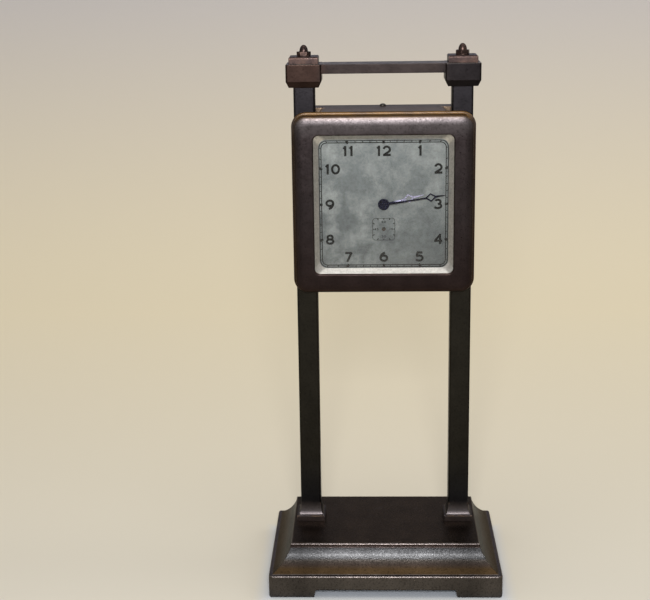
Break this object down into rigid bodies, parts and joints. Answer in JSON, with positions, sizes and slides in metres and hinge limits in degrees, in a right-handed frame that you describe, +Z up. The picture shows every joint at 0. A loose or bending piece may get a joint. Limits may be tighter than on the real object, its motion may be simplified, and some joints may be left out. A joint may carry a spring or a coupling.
{
  "type": "gravity clock",
  "caption": "Clock with a square head that slides down between posts on a stepped base and is driven by its own weight through a rack.",
  "frame": {"origin": "middle of the base's footprint, at the table", "axes": "+Z up the posts, +X to the right of the dial, -Y out of the dial towards the viewer"},
  "size_m": [0.115, 0.0816, 0.2657],
  "materials": {
    "base_bronze": "cast, dark bronze patina, worn bright on its edges",
    "post_bronze": "drawn, dark bronze patina, satin",
    "finial_bronze": "dark bronze patina, rubbed",
    "bezel_bronze": "pressed, dark bronze patina, gold wear on top",
    "case_bronze": "pressed, dark patina",
    "silvered_dial": "silvered, matte, slightly mottled",
    "silvered_ring": "silvered, satin",
    "glass": "clear flat glass",
    "brass": "bright, machined",
    "steel": "polished",
    "blued_steel": "heat-blued, polished"
  },
  "bodies": {
    "stand": {"base": "base_bronze", "left_post": "post_bronze", "right_post": "post_bronze", "rack": "brass", "top_rail": "post_bronze", "finials": "finial_bronze", "post_screws": "steel", "rack_screws": "steel"},
    "head": {"bezel": "bezel_bronze", "glass": "glass", "sight_ring": "silvered_ring", "dial": "silvered_dial", "case": "case_bronze", "guide_blocks": "brass", "back_cover": "case_bronze", "cover_screws": "steel", "top_screw": "steel", "front_plate": "brass", "back_plate": "brass", "pillars": "brass", "plate_nuts": "steel"},
    "rack_wheel": {"rack_wheel": "brass", "rack_arbor": "steel"},
    "first_arbor": {"first_pinion": "steel", "ratchet_wheel": "steel"},
    "first_wheel": {"first_wheel": "brass", "click": "steel", "click_spring": "blued_steel"},
    "centre_wheel": {"centre_wheel": "brass", "centre_pinion": "steel"},
    "third_wheel": {"third_wheel": "brass", "third_pinion": "steel"},
    "fourth_wheel": {"fourth_wheel": "brass", "fourth_pinion": "steel"},
    "escape_wheel": {"escape_wheel": "steel", "escape_pinion": "steel"},
    "lever": {"pallet_lever": "steel"},
    "balance": {"balance_wheel": "brass", "balance_staff": "steel", "balance_spring": "blued_steel"},
    "minute_hand": {"centre_arbor": "steel", "cannon_pinion": "steel", "minute_hand": "blued_steel", "set_knob": "brass"},
    "minute_wheel": {"minute_wheel": "brass"},
    "hour_hand": {"hour_wheel": "brass", "hour_hand": "blued_steel"},
    "regulator": {"regulator": "steel"}
  },
  "joints": [
    {"name": "head_travel", "type": "slide", "parent": "stand", "child": "head", "axis": [0, 0, 1], "range_m": [-0.11, 0.01]},
    {"name": "rack_wheel_turn", "type": "hinge", "parent": "head", "child": "rack_wheel", "pos_m": [-0.0217, 0.008, 0.1902], "axis": [0, 1, 0], "range_deg": [-50, 530]},
    {"name": "first_arbor_turn", "type": "hinge", "parent": "head", "child": "first_arbor", "pos_m": [-0.00947, 0.008, 0.20051], "axis": [0, 1, 0], "range_deg": [-1580, 145]},
    {"name": "third_wheel_turn", "type": "hinge", "parent": "head", "child": "third_wheel", "pos_m": [0.00808, 0.008, 0.18303], "axis": [0, 1, 0], "continuous": true},
    {"name": "first_wheel_turn", "type": "hinge", "parent": "head", "child": "first_wheel", "pos_m": [-0.00947, 0.008, 0.20051], "axis": [0, 1, 0], "continuous": true},
    {"name": "centre_wheel_turn", "type": "hinge", "parent": "head", "child": "centre_wheel", "pos_m": [0, 0.008, 0.1902], "axis": [0, 1, 0], "continuous": true},
    {"name": "fourth_wheel_turn", "type": "hinge", "parent": "head", "child": "fourth_wheel", "pos_m": [0, 0.008, 0.178], "axis": [0, 1, 0], "continuous": true},
    {"name": "escape_wheel_turn", "type": "hinge", "parent": "head", "child": "escape_wheel", "pos_m": [0.00594, 0.008, 0.17092], "axis": [0, 1, 0], "continuous": true},
    {"name": "lever_rock", "type": "hinge", "parent": "head", "child": "lever", "pos_m": [-0.00013, 0.008, 0.16809], "axis": [0, 1, 0], "range_deg": [-5, 5]},
    {"name": "balance_swing", "type": "hinge", "parent": "head", "child": "balance", "pos_m": [-0.009, 0.008, 0.16965], "axis": [0, 1, 0], "range_deg": [-220, 220], "stiffness_Nm_per_rad": 0.00001},
    {"name": "minute_hand_turn", "type": "hinge", "parent": "head", "child": "minute_hand", "pos_m": [0, 0.008, 0.1902], "axis": [0, 1, 0], "continuous": true},
    {"name": "minute_wheel_turn", "type": "hinge", "parent": "head", "child": "minute_wheel", "pos_m": [-0.00552, -0.002, 0.19483], "axis": [0, 1, 0], "continuous": true},
    {"name": "hour_hand_turn", "type": "hinge", "parent": "head", "child": "hour_hand", "pos_m": [0, -0.004, 0.1902], "axis": [0, 1, 0], "continuous": true},
    {"name": "regulator_turn", "type": "hinge", "parent": "head", "child": "regulator", "pos_m": [-0.009, 0.02, 0.16965], "axis": [0, 1, 0], "range_deg": [-20, 20]}
  ],
  "couplings": [
    {"joint": "rack_wheel_turn", "follows": "head_travel", "rad_per_m": -83.333},
    {"joint": "first_arbor_turn", "follows": "head_travel", "rad_per_m": 250},
    {"joint": "first_wheel_turn", "follows": "third_wheel_turn", "ratio": 0.020833},
    {"joint": "centre_wheel_turn", "follows": "third_wheel_turn", "ratio": -0.125},
    {"joint": "fourth_wheel_turn", "follows": "third_wheel_turn", "ratio": -7.5},
    {"joint": "escape_wheel_turn", "follows": "third_wheel_turn", "ratio": 75},
    {"joint": "minute_wheel_turn", "follows": "minute_hand_turn", "ratio": -0.33333},
    {"joint": "hour_hand_turn", "follows": "minute_hand_turn", "ratio": 0.083333}
  ]
}
